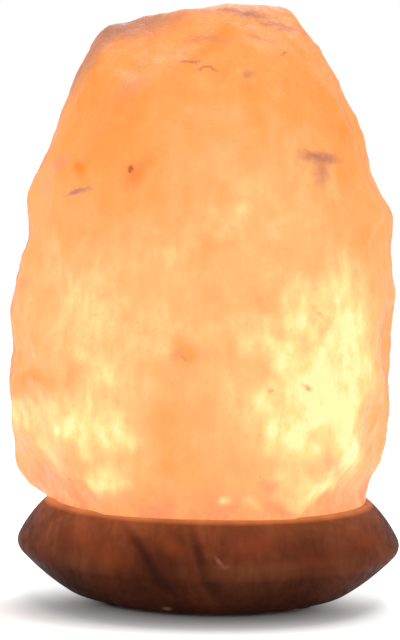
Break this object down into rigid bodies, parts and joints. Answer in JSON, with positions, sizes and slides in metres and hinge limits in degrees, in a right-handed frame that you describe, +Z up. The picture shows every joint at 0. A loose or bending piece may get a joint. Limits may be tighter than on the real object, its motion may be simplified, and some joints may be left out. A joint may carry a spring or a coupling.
{
  "type": "salt crystal lamp",
  "caption": "Table lamp: a rough hollowed block of rock salt on a turned wooden base, lit by a small bulb in a clip-in holder.",
  "frame": {"origin": "on the table, under the middle of the wooden base", "axes": "+Z up; the lamp faces -Y; the cord's groove leaves the base towards +Y"},
  "size_m": [0.1327, 0.1302, 0.1953],
  "materials": {
    "salt": "rough hewn translucent rock salt, glossy on the broken faces",
    "wood": "dark stained and waxed, turned",
    "felt": "dark brown felt",
    "screw_steel": "zinc plated",
    "nylon": "natural nylon",
    "holder_plastic": "moulded thermoplastic, satin",
    "gland_rubber": "matt black rubber",
    "steatite": "unglazed steatite",
    "brass": "drawn brass",
    "contact_bronze": "phosphor bronze strip",
    "spring_steel": "blank spring steel",
    "bulb_glass": "clear blown glass",
    "stem_glass": "pressed glass",
    "black_glass": "opaque black glass",
    "bulb_cap_metal": "nickel plated brass",
    "solder": "tinned",
    "wire": "bright wire",
    "tungsten": "coiled tungsten wire"
  },
  "bodies": {
    "lamp": {"salt_crystal": "salt", "wood_base": "wood", "felt_pads": "felt", "crystal_screws": "screw_steel", "screw_washers": "screw_steel", "screw_anchors": "nylon"},
    "holder": {"holder_cap": "holder_plastic", "holder_barrel": "holder_plastic", "cord_gland": "gland_rubber", "contact_carrier": "steatite", "screw_shell": "brass", "centre_contact": "contact_bronze", "contact_rivets": "brass", "terminal_blocks": "brass", "terminal_screws": "screw_steel", "clip_band": "spring_steel"},
    "clip_left": {"clip_arm_left": "spring_steel"},
    "clip_right": {"clip_arm_right": "spring_steel"},
    "bulb_tip": {"bulb_contact": "solder"},
    "bulb": {"bulb_insulator": "black_glass", "bulb_cap": "bulb_cap_metal", "bulb_glass": "bulb_glass", "bulb_stem": "stem_glass", "bulb_leads": "wire", "bulb_supports": "wire", "bulb_filament": "tungsten"}
  },
  "joints": [
    {"name": "holder_pull", "type": "slide", "parent": "lamp", "child": "holder", "axis": [0, 0, -1], "range_m": [0, 0.1]},
    {"name": "clip_left_squeeze", "type": "hinge", "parent": "holder", "child": "clip_left", "pos_m": [-0.0135, 0, 0.0465], "axis": [0, -1, 0], "range_deg": [0, 6], "stiffness_Nm_per_rad": 0.5, "springref_deg": -11.46},
    {"name": "clip_right_squeeze", "type": "hinge", "parent": "holder", "child": "clip_right", "pos_m": [0.0135, 0, 0.0465], "axis": [0, 1, 0], "range_deg": [0, 6], "stiffness_Nm_per_rad": 0.5, "springref_deg": -11.46},
    {"name": "bulb_travel", "type": "slide", "parent": "holder", "child": "bulb_tip", "axis": [0, 0, 1], "range_m": [0, 0.0113]},
    {"name": "bulb_turn", "type": "hinge", "parent": "bulb_tip", "child": "bulb", "pos_m": [0, 0, 0.037], "axis": [0, 0, 1], "range_deg": [0, 1440]}
  ],
  "couplings": [
    {"joint": "bulb_travel", "follows": "bulb_turn", "m_per_rad": 0.00044913}
  ]
}
